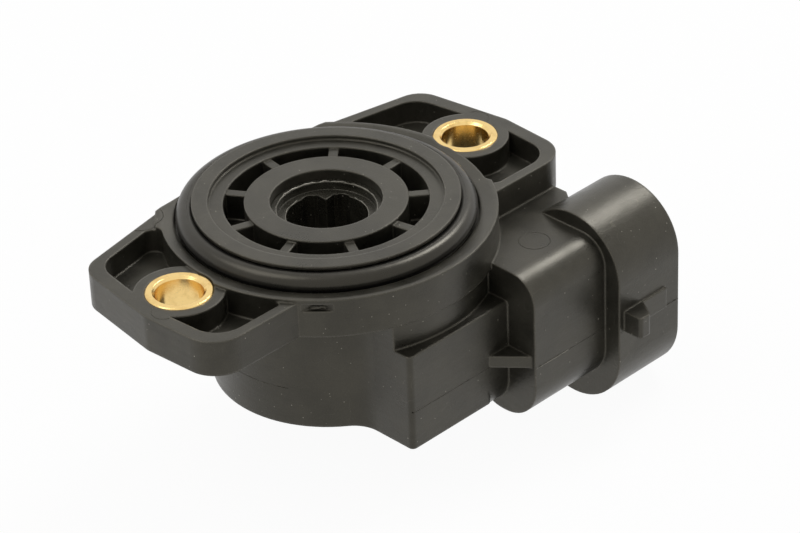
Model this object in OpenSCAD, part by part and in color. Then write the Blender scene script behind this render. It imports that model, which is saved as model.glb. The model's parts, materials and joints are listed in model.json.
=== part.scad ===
// Rotary position sensor with two screw ears, a ribbed hub and a three-pin plug socket.
// The origin is on the shaft axis, in the top plane of the ears. +Z points out of the mating
// face, +X runs through both screw bushes, and the plug socket opens towards +X.

/* [Ears] */
// Distance between the axes of the two screw bushes
screw_spacing = 45.5; // [44:0.5:50]
// Thickness of the ears
ear_t = 4.4; // [4:0.1:5]
// Reach of each ear past its bush axis
ear_reach = 6.0; // [5.6:0.1:7]
// Distance from the shaft axis to the straight front edge of the ears
ear_front = 11.6; // [11:0.1:13]
// Height of the sloping back edges where they would meet, above the shaft axis
ear_back = 16.8; // [16.6:0.1:17.6]
// Slope of the two back edges
ear_back_slope = 11; // [9:0.5:13]
// Radius of the ears' front corners
ear_front_r = 4.0; // [3:0.1:5]
// Radius of the ears' back corners
ear_back_r = 3.2; // [3:0.1:4]
// Radius of the soft bend half way along each ear's end
ear_end_r = 3.0; // [2:0.1:3]
// Width of the pockets' front and back walls
pocket_side_wall = 1.25; // [1.1:0.05:1.6]
// Width of the pockets' wall at the end of the ear
pocket_end_wall = 1.7; // [1.4:0.05:2]
// Radius of the pockets' outer front corners
pocket_front_r = 3.5; // [3:0.1:3.8]
// Radius of the pockets' outer back corners
pocket_back_r = 3.3; // [3:0.1:3.5]
// Floor left under the ear pockets
ear_floor = 1.5; // [1.2:0.1:2]
// Radius of the boss round each bush
boss_r = 5.15; // [5:0.05:5.4]
// Radius of the flange where the two large pockets cut into it
deep_pocket_r = 19; // [19:0.1:19.2]
// Radius of the large pockets' inner corner
deep_pocket_corner = 1.2; // [0.8:0.1:1.4]
// Radius of the small pockets' inner corner
small_pocket_corner = 0.6; // [0.4:0.1:1]

/* [Screw bushes] */
// Outer radius of a bush
bush_r = 3.85; // [3.6:0.05:4]
// Radius of the screw hole
screw_hole_r = 2.75; // [2.6:0.05:2.9]
// Height of a bush above the ear
bush_proud = 0.12; // [0.05:0.01:0.2]
// Bevel at both mouths of a bush
bush_bevel = 0.3; // [0.1:0.05:0.4]

/* [Mating face] */
// Radius of the round flange
rim_r = 19.6; // [19.2:0.1:20]
// Height of the flange face above the ears
rim_h = 0.4; // [0.2:0.1:0.6]
// Width of the flat land at the flange's outer edge
rim_land = 0.5; // [0.3:0.1:0.7]
// Fall of the flange face from that land to the seal's groove
rim_dish = 0.4; // [0.1:0.05:0.5]
// Radius of the pilot spigot
spigot_r = 15.4; // [15.2:0.1:15.6]
// Height of the pilot spigot above the ears
spigot_h = 2.1; // [1.9:0.1:2.4]
// Outer radius of the lowered ring round the hub pockets
sunk_r = 13.5; // [13.2:0.1:14]
// Height of that lowered ring above the ears
sunk_h = 1.5; // [1.3:0.05:1.65]
// Outer radius of the hub pockets
gap_r = 11.8; // [11.5:0.1:12]
// Outer radius of the hub
hub_r = 9.4; // [9.2:0.05:9.8]
// Height of the hub above the ears
hub_h = 1.65; // [1.5:0.05:1.8]
// Depth of the hub pockets below the hub's top
gap_depth = 3.65; // [3:0.05:3.8]
// Number of ribs between the hub and the spigot
rib_count = 9; // [7:1:11]
// Thickness of those ribs
rib_t = 1.1; // [0.8:0.1:1.6]
// Height of the ribs' tops above the ears
rib_h = 1.25; // [1:0.05:1.4]
// Angle of the first rib from +X
rib_start = 1.5; // [0:0.5:10]
// Radius of the bearing bore in the hub
hub_bore_r = 6.45; // [6.3:0.01:6.5]
// Outer radius of the hub's bearing tube inside the can
tube_r = 8.2; // [8:0.1:8.6]
// Depth of the bearing tube's end below the ears
tube_depth = 8.0; // [7.6:0.1:8.4]

/* [Face seal] */
// Section radius of the face seal
seal_r = 1.31; // [1.2:0.01:1.36]
// Depth of the groove in the spigot's wall that the seal sits in
seal_sink = 0.76; // [0.6:0.02:0.84]
// Height of the seal's middle above the ears
seal_mid = 0.33; // [0.25:0.01:0.4]
// Play of the seal in its groove
seal_play = 0.03; // [0.02:0.01:0.1]
// Width between the seal and the flange's rim
seal_room = 0.24; // [0.1:0.02:0.4]

/* [Gate slot] */
// Direction of the mould's gate on the flange's wall
gate_angle = 222.6; // [222:0.2:228]
// Radius of the half-moon slot at the gate
gate_r = 3.5; // [2:0.1:3.5]
// Depth of that slot into the flange's wall
gate_depth = 0.6; // [0.3:0.1:0.8]
// Top of the slot below the ears
gate_top = 0.15; // [0.1:0.05:0.4]
// Height of the slot
gate_h = 0.9; // [0.5:0.1:1.2]

/* [Can] */
// Outer radius of the can behind the flange
can_r = 14.3; // [14.2:0.1:14.8]
// Depth of the can's back below the ears
can_depth = 20.1; // [19.6:0.1:21]
// Radius of the can's inside in front of the track board
chamber_r = 11.2; // [11.1:0.1:11.4]
// Radius of the can's inside behind the track board's ledge
can_bore_r = 12.2; // [12:0.1:12.4]
// Thickness of the roof between the hub pockets and the can's inside
roof_t = 1.4; // [1:0.1:1.6]
// Radius of the wall between the flange and the plug block
upper_wall_r = 19.1; // [18.8:0.1:19.2]

/* [Plug block] */
// Left end of the plug block
block_left = -7.3; // [-8:0.1:-7]
// Right end of the plug block
block_right = 5.6; // [5.4:0.1:6]
// Distance from the shaft axis to the block's front face
block_front = 20.1; // [19.8:0.1:21]
// Depth of the block's top below the ears
block_top = 7.75; // [7.5:0.05:8.2]
// Radius of the block's upright edges
block_edge_r = 0.6; // [0.3:0.1:1]
// Radius of the fillet between the can and the block's left side
can_fillet_r = 4.0; // [3:0.1:5]
// Wall round the chamber in the block
block_wall = 1.6; // [1.5:0.1:1.8]
// Depth of the neck's underside below the ears
neck_depth = 22.4; // [22:0.1:22.7]
// Radius of the neck's lower front edge
neck_r = 4.2; // [3.5:0.1:4.6]

/* [Deck] */
// Depth of the deck's top below the ears
deck_top = 3.65; // [3.4:0.05:3.9]
// Thickness of the deck
deck_t = 2.4; // [2:0.1:3]
// Right edge of the deck
deck_right = 25.6; // [25:0.1:26]

/* [Plug socket] */
// Distance from the shaft axis to the socket's axis
socket_y = 19.3; // [19.2:0.1:19.6]
// Depth of the socket's axis below the ears
socket_depth = 14.0; // [13.8:0.1:14.2]
// Left end of the socket's body
body_left = 8.45; // [8.2:0.05:8.8]
// Half width of the socket's body
body_half_w = 5.0; // [4.9:0.1:5.2]
// Depth of the body's underside below the ears
body_depth = 22.9; // [22.8:0.1:23.4]
// Radius of the body's top front edge
body_top_r = 3.4; // [3:0.1:3.8]
// Radius of the body's bottom edges
body_low_r = 4.8; // [4:0.1:4.9]
// Left end of the wide shroud
shroud_left = 20.3; // [20:0.1:21]
// Mouth of the shroud
mouth_x = 30.55; // [30:0.05:31]
// Half width of the shroud
shroud_half_w = 7.2; // [7:0.1:7.4]
// Half height of the shroud
shroud_half_h = 12.2; // [12:0.1:12.4]
// Wall of the shroud
shroud_wall = 1.6; // [1.3:0.1:1.8]
// Left end of the narrow plug cavity
cavity_left = 13.0; // [12.5:0.1:14]
// Wall between the narrow cavity and the socket's body
cavity_wall = 1.5; // [1.3:0.1:1.6]

/* [Latch lug] */
// Depth of the mould's parting line below the ears
parting_depth = 15.2; // [15:0.1:15.4]
// Height of the latch lug along the socket's wall
lug_h = 2.7; // [2:0.1:3]
// Reach of the lug from the socket's wall
lug_reach = 2.6; // [2:0.1:3]
// Left face of the lug
lug_left = 21.1; // [20.9:0.1:21.6]
// Length of the lug's crest
lug_crest = 1.6; // [1.2:0.1:2]
// Radius of the lug's edges
lug_edge_r = 0.4; // [0.2:0.05:0.5]
// Length of the slope behind the crest, to its foot in the wall
lug_slope = 2.2; // [1:0.1:3]
// Length of the thin pad that carries the lug
pad_len = 7.1; // [6:0.1:8]
// Height of the pad above the wall
pad_h = 0.3; // [0.2:0.05:0.6]
// Thickness of the gusset between the block and the socket's body
gusset_t = 1.5; // [1:0.1:2]

/* [Rotor] */
// Running clearance between the rotor and its bearings
run_gap = 0.06; // [0.03:0.01:0.09]
// Depth of the rotor's top below the hub's top
rotor_drop = 1.25; // [1:0.05:1.6]
// Radius of the shallow recess in the rotor's top
rotor_recess_r = 5.7; // [5.5:0.1:5.8]
// Depth of that recess
rotor_recess = 1.0; // [0.6:0.1:1.4]
// Radius of the keyed shaft hole
key_hole_r = 4.7; // [4.4:0.1:4.8]
// Depth of the keyed hole's floor below the ears
key_hole_depth = 5.2; // [5:0.1:5.6]
// Direction of the key tooth
key_angle = 48; // [0:1:90]
// Reach of the key tooth into the hole
key_reach = 1.3; // [1:0.1:1.6]
// Half width of the key tooth
key_half_w = 1.2; // [1:0.1:1.4]
// Radius of the rotor's disc
disc_r = 10.8; // [10.4:0.1:10.9]
// Thickness of the rotor's disc
disc_t = 2.0; // [1.6:0.1:2.2]
// Radius of the rotor's rear pivot
pivot_r = 3.0; // [2.6:0.1:3.1]
// Section radius of the rotor's shaft seal
ring_r = 0.66; // [0.6:0.02:0.7]
// Thickness of the thrust washer
washer_t = 0.3; // [0.2:0.05:0.4]
// End play on each side of the thrust washer
end_play = 0.05; // [0.03:0.01:0.08]

/* [Track board] */
// Depth of the board's track face below the ears
board_depth = 12.6; // [12.4:0.1:13]
// Thickness of the board
board_t = 1.2; // [1:0.1:1.4]
// Thickness of the printed tracks
track_t = 0.08; // [0.05:0.01:0.1]
// Mean radius of the resistance track
track_mean_r = 8.3; // [8:0.1:8.4]
// Mean radius of the collector track
collector_mean_r = 5.3; // [5.2:0.1:5.6]
// Width of both tracks
track_w = 1.4; // [1:0.1:1.6]
// Half angle of the gap between the resistance track's ends
track_gap_angle = 20; // [18:1:21]

/* [Wipers] */
// Thickness of the wiper plate and of the brushes
spring_t = 0.2; // [0.15:0.01:0.25]
// Angle of the brushes at rest
brush_angle = 40; // [20:1:60]
// Length of a brush along its track
brush_len = 4.4; // [4:0.1:5]
// Width of a brush
brush_w = 1.0; // [0.8:0.1:1.2]
// Height of a brush above its track
brush_gap = 0.05; // [0.02:0.01:0.1]
// Number of fingers on a brush
finger_count = 3; // [2:1:4]

/* [Terminals] */
// Distance between neighbouring terminals
pin_pitch = 3.7; // [3.4:0.1:3.8]
// Depth of the middle terminal below the ears
pin_row_depth = 13.3; // [13:0.1:13.6]
// Width of a terminal blade
pin_w = 1.5; // [1.2:0.1:1.8]
// Thickness of a terminal
pin_t = 0.64; // [0.6:0.02:0.8]
// Tip of the terminal blades
pin_tip = 20.4; // [19.5:0.1:21]
// Room above the highest terminal in the block's chamber
terminal_room = 0.3; // [0.2:0.05:0.5]
// Distance from the inside of the block's front wall to the terminals' run
run_room = 2.3; // [2:0.1:2.4]
// Distance from the left end of the socket's body to the terminals' bend
jog_room = 1.2; // [1:0.1:1.6]
// Distance between the terminals' tails
tail_pitch = 3.5; // [3.2:0.1:3.6]
// Distance from the shaft axis to the rivets in the tails
tail_row = 10.2; // [10:0.1:10.4]
// Radius of a board rivet
rivet_r = 0.5; // [0.4:0.05:0.6]
// Radius of a board rivet's head
rivet_head_r = 0.85; // [0.8:0.05:0.9]

/* [Back cover] */
// Thickness of the back cover
cover_t = 2.0; // [1.8:0.1:2.2]
// Width of the ledge that the cover's seal rests on
ledge_w = 1.1; // [0.9:0.05:1.2]
// Ledge round the block's chamber
tongue_ledge = 0.6; // [0.4:0.05:0.7]
// Thickness of the cover's seal
gasket_t = 0.5; // [0.4:0.05:0.6]

/* [Hidden] */
$fn = 96;
// Gap between pieces that sit in each other and don't move
seat_gap = 0.02;
// Overlap of solids that are cut or joined
eps = 0.05;

screw_x = screw_spacing / 2;
ear_end = screw_x + ear_reach;
seal_mean_r = spigot_r - seal_sink + seal_r;
groove_r = seal_mean_r + seal_r + seal_room;
roof_under = hub_h - gap_depth - roof_t;
cover_r = can_bore_r + ledge_w;
cover_in = -can_depth + cover_t;
journal_r = hub_bore_r - run_gap;
rotor_top = hub_h - rotor_drop;
disc_top = -tube_depth - washer_t - 2 * end_play;
disc_low = disc_top - disc_t;
board_top = -board_depth;
board_low = board_top - board_t;
pivot_low = cover_in + 1.2;
socket_z = -socket_depth;
body_mid_z = -(deck_top + body_depth) / 2;
body_back = -socket_y + body_half_w;
body_front = -socket_y - body_half_w;
pin_z = [for (k = [-1, 0, 1]) -pin_row_depth + k * pin_pitch];
// The terminals' tails end side by side under the board's front edge
tail_mid = (block_left + block_right) / 2;
tail_x = [for (k = [-1, 0, 1]) tail_mid + k * tail_pitch];
tail_y = -tail_row;
// The tails run through the block on one line, behind its front wall
run_y = -block_front + block_wall + run_room;
jog_x = body_left + jog_room;
chamber_top = -pin_row_depth + pin_pitch + pin_t / 2 + terminal_room;
// Distance from the shaft axis to the neck's hidden end, inside the block
neck_inner = 8;

// Unit vector from a to b
function unit(a, b) = (b - a) / norm(b - a);
// Neighbour of a list's entry k, counted round the list
function at(list, k) = list[(k + len(list)) % len(list)];
// Half the angle at corner k of an outline
function half_angle(p, k) =
    acos(unit(p[k], at(p, k - 1)) * unit(p[k], at(p, k + 1))) / 2;
// Centre of the arc that rounds corner k with radius r
function arc_centre(p, k, r) =
    p[k] + unit([0, 0], unit(p[k], at(p, k - 1)) + unit(p[k], at(p, k + 1)))
    * r / sin(half_angle(p, k));
// Where the arc of corner k meets the edge towards q
function tangent_point(p, k, r, q) = p[k] + unit(p[k], q) * r / tan(half_angle(p, k));

// Convex outline with each corner rounded by its own radius
module rounded_outline(points, radii) {
    polygon([for (k = [0 : len(points) - 1])
             for (q = [at(points, k - 1), at(points, k + 1)])
             tangent_point(points, k, radii[k], q)]);
    for (k = [0 : len(points) - 1])
        translate(arc_centre(points, k, radii[k])) circle(radii[k]);
}

// Flat ring between two radii
module ring(outer, inner, z, h) {
    translate([0, 0, z])
        linear_extrude(h)
            difference() {
                circle(outer);
                circle(inner);
            }
}

// Solid along X whose section is drawn with Y to the right and Z up
module along_x(x0, x1) {
    translate([x0, 0, 0])
        rotate([90, 0, 90])
            linear_extrude(x1 - x0)
                children();
}

// Upright slot shape in the YZ plane, round at both ends
module stadium(y, z, half_w, half_h) {
    translate([y - half_w, z - half_h + half_w])
        square([2 * half_w, 2 * (half_h - half_w)]);
    for (side = [-1, 1])
        translate([y, z + side * (half_h - half_w)]) circle(half_w);
}

// Height of the ears' back edge at a place along X
function back_edge(x, inset) = ear_back - inset / cos(ear_back_slope) - abs(x) * tan(ear_back_slope);

// Outline of both ears, moved inwards at the sides and at the ends
module ear_outline(side_inset, end_inset, front_r, back_r) {
    e = ear_end - end_inset;
    x_back = e - 1.85;
    x_front = e - 0.65;
    y_front = -ear_front + side_inset;
    y_back = back_edge(x_back, side_inset);
    rounded_outline(
        [[-x_front, y_front], [x_front, y_front], [e, -1], [x_back, y_back],
         [0, back_edge(0, side_inset)], [-x_back, y_back], [-e, -1]],
        [front_r, front_r, ear_end_r, back_r, ear_end_r, back_r, ear_end_r]);
}

// Everything in front of the ears' sloping back edges
module behind_edges_cut() {
    polygon([[-40, -40], [40, -40], [40, back_edge(40, 0)], [0, back_edge(0, 0)],
             [-40, back_edge(40, 0)]]);
}

// Ears and round flange, with the bosses for the bushes
module flange() {
    translate([0, 0, -ear_t]) {
        linear_extrude(ear_t) ear_outline(0, 0, ear_front_r, ear_back_r);
        linear_extrude(ear_t + rim_h)
            intersection() {
                circle(rim_r);
                behind_edges_cut();
            }
    }
}

// Rounds the corner between a disc and a straight wall in front of the shaft axis
module corner_fill(disc, wall, r) {
    y = -wall + r;
    x = sqrt(pow(disc + r, 2) - y * y);
    difference() {
        polygon([[x, y], [x, -wall], [sqrt(disc * disc - wall * wall), -wall],
                 [x * disc / (disc + r), y * disc / (disc + r)]]);
        translate([x, y]) circle(r);
    }
}

// Half of an ear's pockets, in front of the bush's axis or behind it
module half_pocket(disc, corner, back) {
    front_wall = ear_front - pocket_side_wall;
    back_wall = ear_back * cos(ear_back_slope) - pocket_side_wall;
    difference() {
        ear_outline(pocket_side_wall, pocket_end_wall, pocket_front_r, pocket_back_r);
        circle(disc);
        translate([screw_x, 0]) circle(boss_r);
        translate([-2 * ear_end, -ear_end]) square([2 * ear_end, 2 * ear_end]);
        translate([0, back ? -ear_end : 0]) square([ear_end, ear_end]);
        if (back) rotate(-ear_back_slope) mirror([0, 1]) corner_fill(disc, back_wall, corner);
        else corner_fill(disc, front_wall, corner);
    }
}

// Open pockets in the ears: the two large ones lie across from each other
module ear_pockets() {
    translate([0, 0, -ear_t + ear_floor])
        linear_extrude(ear_t) {
            half_pocket(deep_pocket_r, deep_pocket_corner, false);
            half_pocket(rim_r, small_pocket_corner, true);
            mirror([1, 0]) half_pocket(rim_r, small_pocket_corner, false);
            mirror([1, 0]) half_pocket(deep_pocket_r, deep_pocket_corner, true);
        }
}

// The flange's face slopes down to the seal, and its step keeps clear of two of the bosses
module flange_dish() {
    rotate_extrude()
        polygon([[groove_r - eps, rim_h - rim_dish], [rim_r - rim_land, rim_h],
                 [rim_r - rim_land, rim_h + 1], [groove_r - eps, rim_h + 1]]);
    for (turn = [0, 180])
        rotate(turn)
            linear_extrude(rim_h + 1)
                difference() {
                    translate([screw_x, 0]) circle(boss_r + 0.5);
                    circle(deep_pocket_r);
                    square([ear_end, ear_end]);
                }
}

// Half-moon slot that the mould's gate leaves on the flange's wall
module gate_slot() {
    rotate(gate_angle)
        translate([rim_r + gate_r - gate_depth, 0, -gate_top - gate_h])
            cylinder(r = gate_r, h = gate_h);
}

// Groove of the face seal: under the spigot's edge, and open to the flange's face
module seal_groove() {
    low = seal_mid - seal_r - seal_play;
    ring(groove_r, spigot_r, low, rim_h - low + eps);
    ring(spigot_r + eps, spigot_r - seal_sink - seal_play, low, 2 * (seal_r + seal_play));
}

// Pockets between the hub's ribs, the lowered ring outside them and the room above the hub
module hub_pockets() {
    translate([0, 0, hub_h]) cylinder(r = gap_r, h = spigot_h - hub_h + eps);
    ring(sunk_r, gap_r - eps, sunk_h, spigot_h - sunk_h + eps);
    ring(gap_r, hub_r, rib_h, hub_h - rib_h + eps);
    difference() {
        ring(gap_r, hub_r, hub_h - gap_depth, gap_depth);
        for (k = [0 : rib_count - 1])
            rotate(rib_start + k * 360 / rib_count)
                translate([hub_r - eps, -rib_t / 2, -ear_t])
                    cube([gap_r - hub_r + 2 * eps, rib_t, 2 * ear_t]);
    }
}

// Can, bearing tube and the wall that drops to the plug block
module can_outside() {
    translate([0, 0, -can_depth]) cylinder(r = can_r, h = can_depth - ear_t + eps);
    translate([0, 0, -ear_t]) cylinder(r = spigot_r, h = ear_t + spigot_h);
    translate([0, 0, -block_top - eps])
        linear_extrude(block_top - ear_t + 2 * eps)
            intersection() {
                circle(upper_wall_r);
                translate([block_left, -rim_r]) square([2 * rim_r, rim_r]);
            }
    translate([0, 0, -can_depth]) linear_extrude(can_depth - ear_t + eps) can_fillet();
}

// Fillet between the can and the left side of the block, seen from above
module can_fillet() {
    x = block_left - can_fillet_r;
    reach = can_r + can_fillet_r;
    y = -sqrt(reach * reach - x * x);
    difference() {
        polygon([[x, y], [block_left + eps, y], [block_left + eps, y + can_fillet_r],
                 [x * can_r / reach + 2 * eps, y * can_r / reach + 2 * eps]]);
        translate([x, y]) circle(can_fillet_r);
    }
}

// Plug block beside the can, with the neck that joins it to the socket's body
module plug_block() {
    translate([0, 0, -can_depth])
        linear_extrude(can_depth - block_top)
            rounded_outline(
                [[block_left, -block_front], [block_right, -block_front],
                 [block_right, -1], [block_left, -1]],
                [block_edge_r, block_edge_r, block_edge_r, block_edge_r]);
    along_x(block_right - 2, body_left + eps)
        rounded_outline(
            [[-block_front, -neck_depth], [-neck_inner, -neck_depth],
             [-neck_inner, -block_top], [-block_front, -block_top]],
            [neck_r, neck_r, 0.3, 0.3]);
}

// Body of the socket and its wide shroud
module socket_outside() {
    along_x(body_left, shroud_left + eps)
        rounded_outline(
            [[body_front, -body_depth], [body_back, -body_depth], [body_back, -deck_top],
             [body_front, -deck_top]],
            [body_low_r, body_low_r, 0.5, body_top_r]);
    along_x(shroud_left, mouth_x) stadium(-socket_y, socket_z, shroud_half_w, shroud_half_h);
}

// Deck that ties the ear, the flange and the socket together
module deck() {
    translate([0, 0, -deck_top - deck_t])
        linear_extrude(deck_t)
            polygon([[body_left, -ear_front + 2], [deck_right, -ear_front + 2],
                     [deck_right, -socket_y + shroud_half_w - 1.4], [shroud_left + 1, -socket_y],
                     [body_left, -socket_y]]);
}

// Latch lug on its thin pad, and the gusset at the parting line
module latch_lug() {
    wall_y = -socket_y - shroud_half_w;
    translate([0, 0, -parting_depth]) {
        linear_extrude(lug_h)
            rounded_outline(
                [[lug_left, wall_y + 1], [lug_left, wall_y - lug_reach],
                 [lug_left + lug_crest, wall_y - lug_reach],
                 [lug_left + lug_crest + lug_slope, wall_y + 1]],
                [lug_edge_r, lug_edge_r, lug_edge_r, lug_edge_r]);
        translate([lug_left, wall_y - pad_h, 0]) cube([pad_len, pad_h + 2, lug_h]);
        linear_extrude(gusset_t)
            polygon([[block_right - 0.3, -block_front], [body_left + eps, body_front + 0.5],
                     [body_left + eps, -block_front + 1], [block_right - 0.3, -block_front + 1]]);
    }
}

// Outline of the back cover, grown by a gap: a disc with a tongue over the block's chamber
module cover_outline(grow) {
    circle(cover_r + grow);
    edge = block_wall - tongue_ledge - grow;
    translate([block_left + edge, -block_front + edge])
        square([block_right - block_left - 2 * edge, block_front - 6]);
}

// Inside of the can, the block's chamber and the recess for the back cover
module can_inside() {
    translate([0, 0, -board_depth - eps])
        cylinder(r = chamber_r, h = board_depth + roof_under + eps);
    translate([0, 0, cover_in - gasket_t - eps])
        cylinder(r = can_bore_r, h = board_top - cover_in + gasket_t + eps);
    translate([block_left + block_wall, -block_front + block_wall, cover_in - eps])
        cube([block_right - block_left - 2 * block_wall, block_front - block_wall - 6,
              chamber_top - cover_in + eps]);
    translate([0, 0, -can_depth - eps])
        linear_extrude(cover_t + gasket_t + eps) cover_outline(seat_gap);
}

// Narrow and wide part of the plug cavity
module plug_cavity() {
    along_x(cavity_left, shroud_left + 2)
        stadium(-socket_y, body_mid_z, body_half_w - cavity_wall,
                (body_depth - deck_top) / 2 - cavity_wall);
    along_x(shroud_left + shroud_wall, mouth_x + 1)
        stadium(-socket_y, socket_z, shroud_half_w - shroud_wall, shroud_half_h - shroud_wall);
}

// Way of one terminal through the plastic, wider than the terminal by a gap on each side
module terminal_way(z, gap) {
    w = pin_w + 2 * gap;
    translate([0, 0, z - pin_t / 2 - gap])
        linear_extrude(pin_t + 2 * gap) {
            translate([jog_x - pin_w / 2 - gap, -socket_y - w / 2])
                square([cavity_left - jog_x + pin_w / 2 + gap + eps, w]);
            translate([jog_x - pin_w / 2 - gap, -socket_y - w / 2])
                square([w, run_y + socket_y + w]);
            translate([block_right - block_wall - eps, run_y - w / 2])
                square([jog_x - block_right + block_wall + eps, w]);
        }
}

module housing() {
    color("#2b2a29")
        difference() {
            union() {
                flange();
                can_outside();
                plug_block();
                socket_outside();
                deck();
                latch_lug();
            }
            ear_pockets();
            hub_pockets();
            flange_dish();
            seal_groove();
            gate_slot();
            can_inside_without_tube();
            translate([0, 0, -tube_depth - eps])
                cylinder(r = hub_bore_r, h = tube_depth + spigot_h + 2 * eps);
            for (side = [-1, 1])
                translate([side * screw_x, 0, -ear_t - eps])
                    cylinder(r = bush_r + seat_gap, h = ear_t + rim_h + 2 * eps);
            plug_cavity();
            for (z = pin_z) terminal_way(z, seat_gap);
        }
}

// The can's inside leaves the hub's bearing tube standing
module can_inside_without_tube() {
    difference() {
        can_inside();
        translate([0, 0, -tube_depth]) cylinder(r = tube_r, h = tube_depth);
    }
}

// Screw bush with bevelled mouths, standing on the ear's underside
module bush(side) {
    h = ear_t + bush_proud;
    color("#c9a557")
        translate([side * screw_x, 0, -ear_t])
            rotate_extrude()
                polygon([[screw_hole_r + bush_bevel, 0], [bush_r - bush_bevel, 0],
                         [bush_r, bush_bevel], [bush_r, h - bush_bevel / 2],
                         [bush_r - bush_bevel / 2, h], [screw_hole_r + bush_bevel, h],
                         [screw_hole_r, h - bush_bevel], [screw_hole_r, bush_bevel]]);
}

module bush_left() { bush(-1); }
module bush_right() { bush(1); }

// Rubber ring in the groove round the spigot
module face_seal() {
    color("#141414")
        translate([0, 0, seal_mid])
            rotate_extrude() translate([seal_mean_r, 0]) circle(seal_r);
}

// Rotor: journal with the keyed hole, disc for the wipers and rear pivot
module rotor() {
    ring_z = -(tube_depth + key_hole_depth) / 2;
    ring_floor_r = journal_r - 2 * ring_r;
    color("#3a3936")
        difference() {
            union() {
                translate([0, 0, disc_low])
                    cylinder(r = journal_r, h = rotor_top - disc_low);
                translate([0, 0, disc_low]) cylinder(r = disc_r, h = disc_t);
                translate([0, 0, pivot_low])
                    cylinder(r = pivot_r, h = disc_low - pivot_low + eps);
                for (side = [-1, 1]) wiper_stake(side);
            }
            translate([0, 0, rotor_top - rotor_recess])
                cylinder(r = rotor_recess_r, h = rotor_recess + eps);
            keyed_hole();
            ring(journal_r + eps, ring_floor_r, ring_z - ring_r - seat_gap,
                 2 * (ring_r + seat_gap));
        }
}

// Shaft hole with one pointed tooth and a notch on each side of it
module keyed_hole() {
    translate([0, 0, -key_hole_depth])
        linear_extrude(key_hole_depth + rotor_top)
            difference() {
                union() {
                    circle(key_hole_r);
                    for (side = [-1, 1])
                        rotate(key_angle + side * 26)
                            translate([key_hole_r - 0.7, 0]) circle(1.0);
                }
                rotate(key_angle)
                    polygon([[key_hole_r + 0.2, -key_half_w], [key_hole_r - key_reach, 0],
                             [key_hole_r + 0.2, key_half_w]]);
            }
}

// Stake under the disc that holds the wiper plate
module wiper_stake(side) {
    rotate(brush_angle + 180)
        translate([collector_mean_r, side * 2.2, disc_low - spring_t - 0.5]) {
            cylinder(r = 0.6, h = spring_t + 0.5 + eps);
            cylinder(r = 1.0, h = 0.5 - seat_gap);
        }
}

// Rubber ring on the rotor's journal, just clear of the bore
module shaft_seal() {
    color("#1b1b1b")
        translate([0, 0, -(tube_depth + key_hole_depth) / 2])
            rotate_extrude() translate([journal_r - ring_r, 0]) circle(ring_r - seat_gap / 2);
}

// Thin washer between the bearing tube and the rotor's disc
module thrust_washer() {
    color("#b9b9b2")
        ring(tube_r, journal_r + run_gap, disc_top + end_play, washer_t);
}

// Spring plate under the rotor's disc, with a land for each brush
module wiper_plate() {
    color("#c78f4e")
        translate([0, 0, disc_low - spring_t])
            linear_extrude(spring_t - seat_gap)
                difference() {
                    union() {
                        circle(collector_mean_r + 1.3);
                        rotate(brush_angle)
                            translate([0, -1.2]) square([track_mean_r + brush_w / 2, 2.4]);
                    }
                    circle(pivot_r + 0.7);
                    rotate(brush_angle + 180)
                        for (side = [-1, 1])
                            translate([collector_mean_r, side * 2.2]) circle(0.6 + seat_gap);
                }
}

// Fingered brush that leans from the wiper plate down to its track
module brush(mean_r) {
    high = disc_low - spring_t - seat_gap;
    low = board_top + track_t + brush_gap;
    finger_w = brush_w / (2 * finger_count - 1);
    color("#d8c38a")
        rotate(brush_angle)
            translate([mean_r - brush_w / 2, 0, 0]) {
                translate([0, -1, high - spring_t]) cube([brush_w, 1.4, spring_t]);
                for (k = [0 : finger_count - 1])
                    along_x(2 * k * finger_w, (2 * k + 1) * finger_w)
                        polygon([[0, high], [0, high - spring_t], [-1, high - spring_t],
                                 [-brush_len + 0.4, low], [-brush_len, low],
                                 [-brush_len - 0.5, low + 0.4],
                                 [-brush_len - 0.6, low + 0.4 + spring_t],
                                 [-brush_len - 0.05, low + spring_t],
                                 [-brush_len + 0.4, low + spring_t], [-0.95, high]]);
            }
}

module track_brush() { brush(track_mean_r); }
module collector_brush() { brush(collector_mean_r); }

// Board inside the can, against its ledge, with holes for the pivot and the rivets
module track_board() {
    color("#3f6b4a")
        translate([0, 0, board_low])
            linear_extrude(board_t - seat_gap)
                difference() {
                    circle(can_bore_r - 0.1);
                    circle(pivot_r + 0.6);
                    for (x = tail_x) translate([x, tail_y]) circle(rivet_r + seat_gap);
                }
}

// Carbon track, nearly a full turn, with a lead at each end
module resistance_track() {
    color("#2a2b30")
        translate([0, 0, board_top])
            linear_extrude(track_t) {
                difference() {
                    circle(track_mean_r + track_w / 2);
                    circle(track_mean_r - track_w / 2);
                    polygon([[0, 0], [-can_r * tan(track_gap_angle), -can_r],
                             [can_r * tan(track_gap_angle), -can_r]]);
                }
                for (k = [0, 2]) track_lead(tail_x[k], -track_mean_r + 1.2, 0.9);
            }
}

// Printed lead from a track to the head of its rivet
module track_lead(x, y, w) {
    difference() {
        translate([x - w / 2, tail_y]) square([w, y - tail_y]);
        translate([x, tail_y]) circle(rivet_head_r + seat_gap);
    }
}

// Silver collector ring, with its lead between the ends of the carbon track
module collector_track() {
    color("#c9c9c4")
        translate([0, 0, board_top])
            linear_extrude(track_t)
                difference() {
                    union() {
                        circle(collector_mean_r + track_w / 2);
                        track_lead(tail_x[1], -collector_mean_r, 0.9);
                    }
                    circle(collector_mean_r - track_w / 2);
                }
}

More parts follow.
